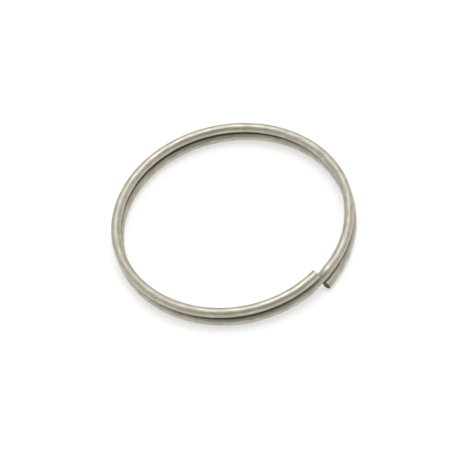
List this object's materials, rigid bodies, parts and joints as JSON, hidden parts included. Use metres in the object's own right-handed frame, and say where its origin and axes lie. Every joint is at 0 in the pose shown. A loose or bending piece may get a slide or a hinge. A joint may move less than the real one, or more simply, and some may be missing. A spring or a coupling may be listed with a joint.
{
  "type": "split key ring",
  "caption": "Split key ring wound from one round spring wire in close turns, with square-cut free ends that spring open at an S-bend.",
  "frame": {"origin": "centre of the ring, on its axis, midway between the two turns", "axes": "+Z along the ring's axis, up when the ring lies flat on its lower turn; +X from the axis through the split, where both free ends meet the S-bend"},
  "size_m": [0.0308, 0.03, 0.0034],
  "materials": {
    "spring_wire": "satin nickel plate over drawn spring steel"
  },
  "bodies": {
    "lower_free_end": {"lower_free_end": "spring_wire"},
    "lower_turn_stretch_10": {"lower_turn_stretch_10": "spring_wire"},
    "lower_turn_stretch_09": {"lower_turn_stretch_09": "spring_wire"},
    "lower_turn_stretch_08": {"lower_turn_stretch_08": "spring_wire"},
    "lower_turn_stretch_07": {"lower_turn_stretch_07": "spring_wire"},
    "lower_turn_stretch_06": {"lower_turn_stretch_06": "spring_wire"},
    "lower_turn_stretch_05": {"lower_turn_stretch_05": "spring_wire"},
    "lower_turn_stretch_04": {"lower_turn_stretch_04": "spring_wire"},
    "lower_turn_stretch_03": {"lower_turn_stretch_03": "spring_wire"},
    "lower_turn_stretch_02": {"lower_turn_stretch_02": "spring_wire"},
    "lower_turn_stretch_01": {"lower_turn_stretch_01": "spring_wire"},
    "crossover_bend": {"crossover_bend": "spring_wire"},
    "upper_turn_stretch_01": {"upper_turn_stretch_01": "spring_wire"},
    "upper_turn_stretch_02": {"upper_turn_stretch_02": "spring_wire"},
    "upper_turn_stretch_03": {"upper_turn_stretch_03": "spring_wire"},
    "upper_turn_stretch_04": {"upper_turn_stretch_04": "spring_wire"},
    "upper_turn_stretch_05": {"upper_turn_stretch_05": "spring_wire"},
    "upper_turn_stretch_06": {"upper_turn_stretch_06": "spring_wire"},
    "upper_turn_stretch_07": {"upper_turn_stretch_07": "spring_wire"},
    "upper_turn_stretch_08": {"upper_turn_stretch_08": "spring_wire"},
    "upper_turn_stretch_09": {"upper_turn_stretch_09": "spring_wire"},
    "upper_turn_stretch_10": {"upper_turn_stretch_10": "spring_wire"},
    "upper_free_end": {"upper_free_end": "spring_wire"}
  },
  "joints": [
    {"name": "upper_flexure_01", "type": "hinge", "parent": "crossover_bend", "child": "upper_turn_stretch_01", "pos_m": [0.01403, 0.00379, 0.00068], "axis": [-0.1243, 0.9922, 0], "range_deg": [0, 0.22718], "stiffness_Nm_per_rad": 0.02},
    {"name": "upper_flexure_02", "type": "hinge", "parent": "upper_turn_stretch_01", "child": "upper_turn_stretch_02", "pos_m": [0.00985, 0.0104, 0.00068], "axis": [-0.9986, 0.0532, 0], "range_deg": [0, 0.38186], "stiffness_Nm_per_rad": 0.02},
    {"name": "upper_flexure_03", "type": "hinge", "parent": "upper_turn_stretch_02", "child": "upper_turn_stretch_03", "pos_m": [0.003, 0.01406, 0.00068], "axis": [-0.8876, -0.4605, 0], "range_deg": [0, 0.712], "stiffness_Nm_per_rad": 0.02},
    {"name": "upper_flexure_04", "type": "hinge", "parent": "upper_turn_stretch_03", "child": "upper_turn_stretch_04", "pos_m": [-0.00475, 0.01363, 0.00068], "axis": [-0.6805, -0.7328, 0], "range_deg": [0, 1.02], "stiffness_Nm_per_rad": 0.02},
    {"name": "upper_flexure_05", "type": "hinge", "parent": "upper_turn_stretch_04", "child": "upper_turn_stretch_05", "pos_m": [-0.01115, 0.00925, 0.00068], "axis": [-0.4194, -0.9078, 0], "range_deg": [0, 1.23], "stiffness_Nm_per_rad": 0.02},
    {"name": "upper_flexure_06", "type": "hinge", "parent": "upper_turn_stretch_05", "child": "upper_turn_stretch_06", "pos_m": [-0.01434, 0.00218, 0.00068], "axis": [-0.101, -0.9949, 0], "range_deg": [0, 1.33], "stiffness_Nm_per_rad": 0.02},
    {"name": "upper_flexure_07", "type": "hinge", "parent": "upper_turn_stretch_06", "child": "upper_turn_stretch_07", "pos_m": [-0.01341, -0.00552, 0.00068], "axis": [0.2315, -0.9728, 0], "range_deg": [0, 1.3], "stiffness_Nm_per_rad": 0.02},
    {"name": "upper_flexure_08", "type": "hinge", "parent": "upper_turn_stretch_07", "child": "upper_turn_stretch_08", "pos_m": [-0.00861, -0.01162, 0.00068], "axis": [0.5301, -0.848, 0], "range_deg": [0, 1.13], "stiffness_Nm_per_rad": 0.02},
    {"name": "upper_flexure_09", "type": "hinge", "parent": "upper_turn_stretch_08", "child": "upper_turn_stretch_09", "pos_m": [-0.00135, -0.01435, 0.00068], "axis": [0.7583, -0.6519, 0], "range_deg": [0, 0.87895], "stiffness_Nm_per_rad": 0.02},
    {"name": "upper_flexure_10", "type": "hinge", "parent": "upper_turn_stretch_09", "child": "upper_turn_stretch_10", "pos_m": [0.00628, -0.01291, 0.00068], "axis": [0.9034, -0.4287, 0], "range_deg": [0, 0.58173], "stiffness_Nm_per_rad": 0.02},
    {"name": "upper_flexure_11", "type": "hinge", "parent": "upper_turn_stretch_10", "child": "upper_free_end", "pos_m": [0.01205, -0.00772, 0.00081], "axis": [0.9766, -0.2151, 0], "range_deg": [0, 0.28422], "stiffness_Nm_per_rad": 0.02},
    {"name": "lower_flexure_01", "type": "hinge", "parent": "crossover_bend", "child": "lower_turn_stretch_01", "pos_m": [0.01379, -0.00367, -0.00068], "axis": [-0.0098, -1, 0], "range_deg": [0, 0.20361], "stiffness_Nm_per_rad": 0.02},
    {"name": "lower_flexure_02", "type": "hinge", "parent": "lower_turn_stretch_01", "child": "lower_turn_stretch_02", "pos_m": [0.01007, -0.0104, -0.00068], "axis": [-0.9978, -0.0668, 0], "range_deg": [0, 0.36262], "stiffness_Nm_per_rad": 0.02},
    {"name": "lower_flexure_03", "type": "hinge", "parent": "lower_turn_stretch_02", "child": "lower_turn_stretch_03", "pos_m": [0.00322, -0.01406, -0.00068], "axis": [-0.8831, 0.4692, 0], "range_deg": [0, 0.69119], "stiffness_Nm_per_rad": 0.02},
    {"name": "lower_flexure_04", "type": "hinge", "parent": "lower_turn_stretch_03", "child": "lower_turn_stretch_04", "pos_m": [-0.00453, -0.01363, -0.00068], "axis": [-0.6723, 0.7403, 0], "range_deg": [0, 1], "stiffness_Nm_per_rad": 0.02},
    {"name": "lower_flexure_05", "type": "hinge", "parent": "lower_turn_stretch_04", "child": "lower_turn_stretch_05", "pos_m": [-0.01093, -0.00925, -0.00068], "axis": [-0.4142, 0.9102, 0], "range_deg": [0, 1.21], "stiffness_Nm_per_rad": 0.02},
    {"name": "lower_flexure_06", "type": "hinge", "parent": "lower_turn_stretch_05", "child": "lower_turn_stretch_06", "pos_m": [-0.01412, -0.00218, -0.00068], "axis": [-0.0999, 0.995, 0], "range_deg": [0, 1.31], "stiffness_Nm_per_rad": 0.02},
    {"name": "lower_flexure_07", "type": "hinge", "parent": "lower_turn_stretch_06", "child": "lower_turn_stretch_07", "pos_m": [-0.01319, 0.00552, -0.00068], "axis": [0.2283, 0.9736, 0], "range_deg": [0, 1.28], "stiffness_Nm_per_rad": 0.02},
    {"name": "lower_flexure_08", "type": "hinge", "parent": "lower_turn_stretch_07", "child": "lower_turn_stretch_08", "pos_m": [-0.00839, 0.01162, -0.00068], "axis": [0.5225, 0.8527, 0], "range_deg": [0, 1.11], "stiffness_Nm_per_rad": 0.02},
    {"name": "lower_flexure_09", "type": "hinge", "parent": "lower_turn_stretch_08", "child": "lower_turn_stretch_09", "pos_m": [-0.00113, 0.01435, -0.00068], "axis": [0.7464, 0.6656, 0], "range_deg": [0, 0.86109], "stiffness_Nm_per_rad": 0.02},
    {"name": "lower_flexure_10", "type": "hinge", "parent": "lower_turn_stretch_09", "child": "lower_turn_stretch_10", "pos_m": [0.0065, 0.01291, -0.00068], "axis": [0.8869, 0.4619, 0], "range_deg": [0, 0.568], "stiffness_Nm_per_rad": 0.02},
    {"name": "lower_flexure_11", "type": "hinge", "parent": "lower_turn_stretch_10", "child": "lower_free_end", "pos_m": [0.01236, 0.00777, -0.00072], "axis": [0.9579, 0.2872, 0], "range_deg": [0, 0.27866], "stiffness_Nm_per_rad": 0.02}
  ],
  "couplings": [
    {"joint": "upper_flexure_01", "follows": "upper_flexure_06", "ratio": 0.17027},
    {"joint": "upper_flexure_02", "follows": "upper_flexure_06", "ratio": 0.2862},
    {"joint": "upper_flexure_03", "follows": "upper_flexure_06", "ratio": 0.53364},
    {"joint": "upper_flexure_04", "follows": "upper_flexure_06", "ratio": 0.76403},
    {"joint": "upper_flexure_05", "follows": "upper_flexure_06", "ratio": 0.9245},
    {"joint": "upper_flexure_07", "follows": "upper_flexure_06", "ratio": 0.9732},
    {"joint": "upper_flexure_08", "follows": "upper_flexure_06", "ratio": 0.85032},
    {"joint": "upper_flexure_09", "follows": "upper_flexure_06", "ratio": 0.65877},
    {"joint": "upper_flexure_10", "follows": "upper_flexure_06", "ratio": 0.436},
    {"joint": "upper_flexure_11", "follows": "upper_flexure_06", "ratio": 0.21302},
    {"joint": "lower_flexure_01", "follows": "lower_flexure_06", "ratio": 0.15505},
    {"joint": "lower_flexure_02", "follows": "lower_flexure_06", "ratio": 0.27614},
    {"joint": "lower_flexure_03", "follows": "lower_flexure_06", "ratio": 0.52636},
    {"joint": "lower_flexure_04", "follows": "lower_flexure_06", "ratio": 0.76114},
    {"joint": "lower_flexure_05", "follows": "lower_flexure_06", "ratio": 0.92366},
    {"joint": "lower_flexure_07", "follows": "lower_flexure_06", "ratio": 0.97289},
    {"joint": "lower_flexure_08", "follows": "lower_flexure_06", "ratio": 0.84874},
    {"joint": "lower_flexure_09", "follows": "lower_flexure_06", "ratio": 0.65574},
    {"joint": "lower_flexure_10", "follows": "lower_flexure_06", "ratio": 0.43254},
    {"joint": "lower_flexure_11", "follows": "lower_flexure_06", "ratio": 0.21221}
  ]
}
